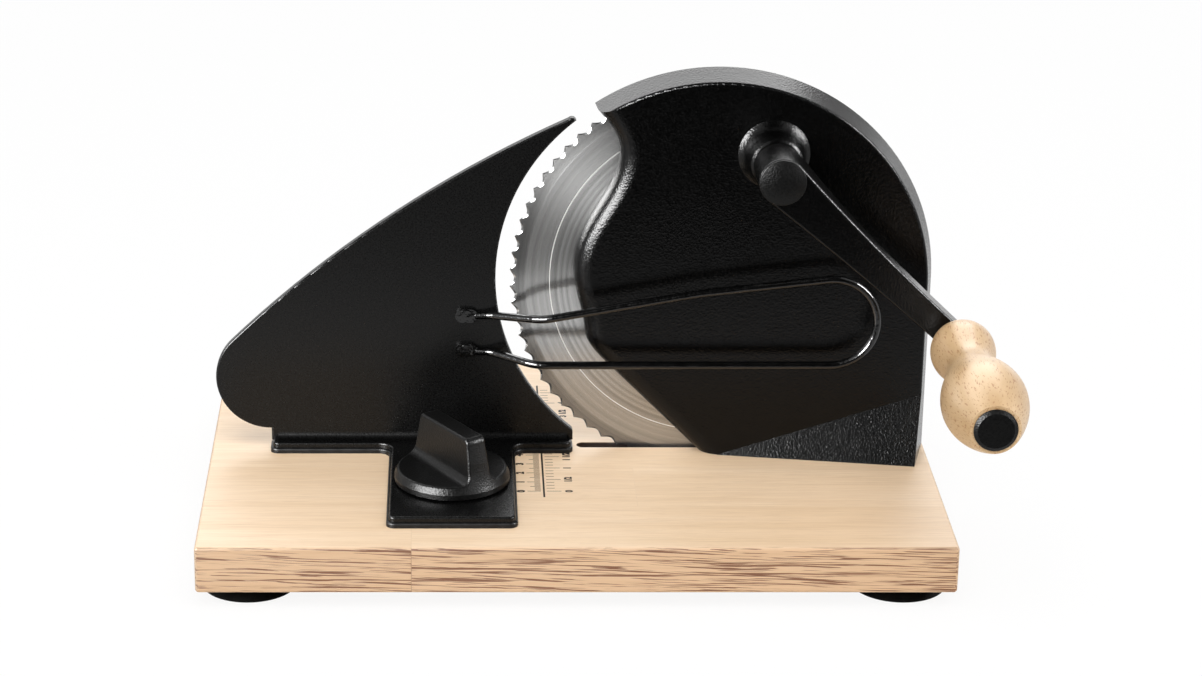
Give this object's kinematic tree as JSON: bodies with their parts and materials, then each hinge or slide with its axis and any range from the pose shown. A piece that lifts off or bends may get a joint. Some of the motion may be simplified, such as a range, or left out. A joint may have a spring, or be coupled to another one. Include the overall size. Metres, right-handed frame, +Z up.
{
  "type": "hand crank bread slicer",
  "caption": "Table slicer with a wooden board on suction feet, a round scalloped blade in a black gear housing, a hand crank, a sliding fence with a wire guard and a clamp knob.",
  "frame": {"origin": "middle of the whole object's footprint, on the surface that the feet stand on", "axes": "+X to the user's right along the board, +Y away from the user, +Z up"},
  "size_m": [0.342, 0.2518, 0.2041],
  "materials": {
    "beech_board": "satin",
    "turned_wood": "satin",
    "black_casting": "satin",
    "black_plate": "satin",
    "black_wire": "gloss",
    "black_plastic": "matte",
    "gear_plastic": "matte",
    "blade_steel": "satin",
    "bright_steel": "satin",
    "brass": "satin",
    "bronze": "satin",
    "foot_rubber": "matte"
  },
  "bodies": {
    "frame": {"base_board": "beech_board", "suction_feet": "foot_rubber", "foot_washers": "bright_steel", "foot_screws": "bright_steel", "gear_housing": "black_casting", "housing_screws": "bright_steel", "housing_washers": "bright_steel", "axle_sleeve": "bright_steel", "blade_cap": "bright_steel", "blade_cap_screw": "bright_steel", "crank_bushes": "bronze", "clamp_stud": "bright_steel", "stud_washer": "bright_steel"},
    "blade_unit": {"blade": "blade_steel", "blade_gear": "gear_plastic", "blade_screws": "bright_steel"},
    "crank": {"crank_arm": "black_casting", "crank_shaft": "bright_steel", "crank_gear": "bright_steel", "shaft_clip": "bright_steel", "crank_washer": "bright_steel", "crank_screw": "bright_steel", "hub_cap": "black_plastic", "handle_spindle": "bright_steel", "handle_washer": "black_plastic"},
    "grip": {"handle_grip": "turned_wood", "handle_plug": "black_plastic"},
    "fence": {"fence_plate": "black_plate", "slide_pad": "black_plastic", "wire_guard": "black_wire", "guard_rivets": "black_wire"},
    "knob": {"clamp_knob": "black_plastic", "knob_insert": "brass", "knob_washer": "bright_steel"}
  },
  "joints": [
    {"name": "blade_spin", "type": "hinge", "parent": "frame", "child": "blade_unit", "pos_m": [0.0522, 0.02495, 0.1079], "axis": [0, 1, 0], "continuous": true},
    {"name": "crank_turn", "type": "hinge", "parent": "frame", "child": "crank", "pos_m": [0.07564, -0.00275, 0.1688], "axis": [0, 1, 0], "continuous": true},
    {"name": "grip_spin", "type": "hinge", "parent": "crank", "child": "grip", "pos_m": [0.1533, -0.02785, 0.09738], "axis": [0, 1, 0], "continuous": true},
    {"name": "fence_slide", "type": "slide", "parent": "frame", "child": "fence", "axis": [0, -1, 0], "range_m": [0, 0.012]},
    {"name": "knob_turn", "type": "hinge", "parent": "frame", "child": "knob", "pos_m": [-0.0631, -0.02535, 0.0338], "axis": [0, 0, 1], "range_deg": [0, 180]}
  ],
  "couplings": [
    {"joint": "crank_turn", "follows": "blade_spin", "ratio": -2.1071}
  ]
}
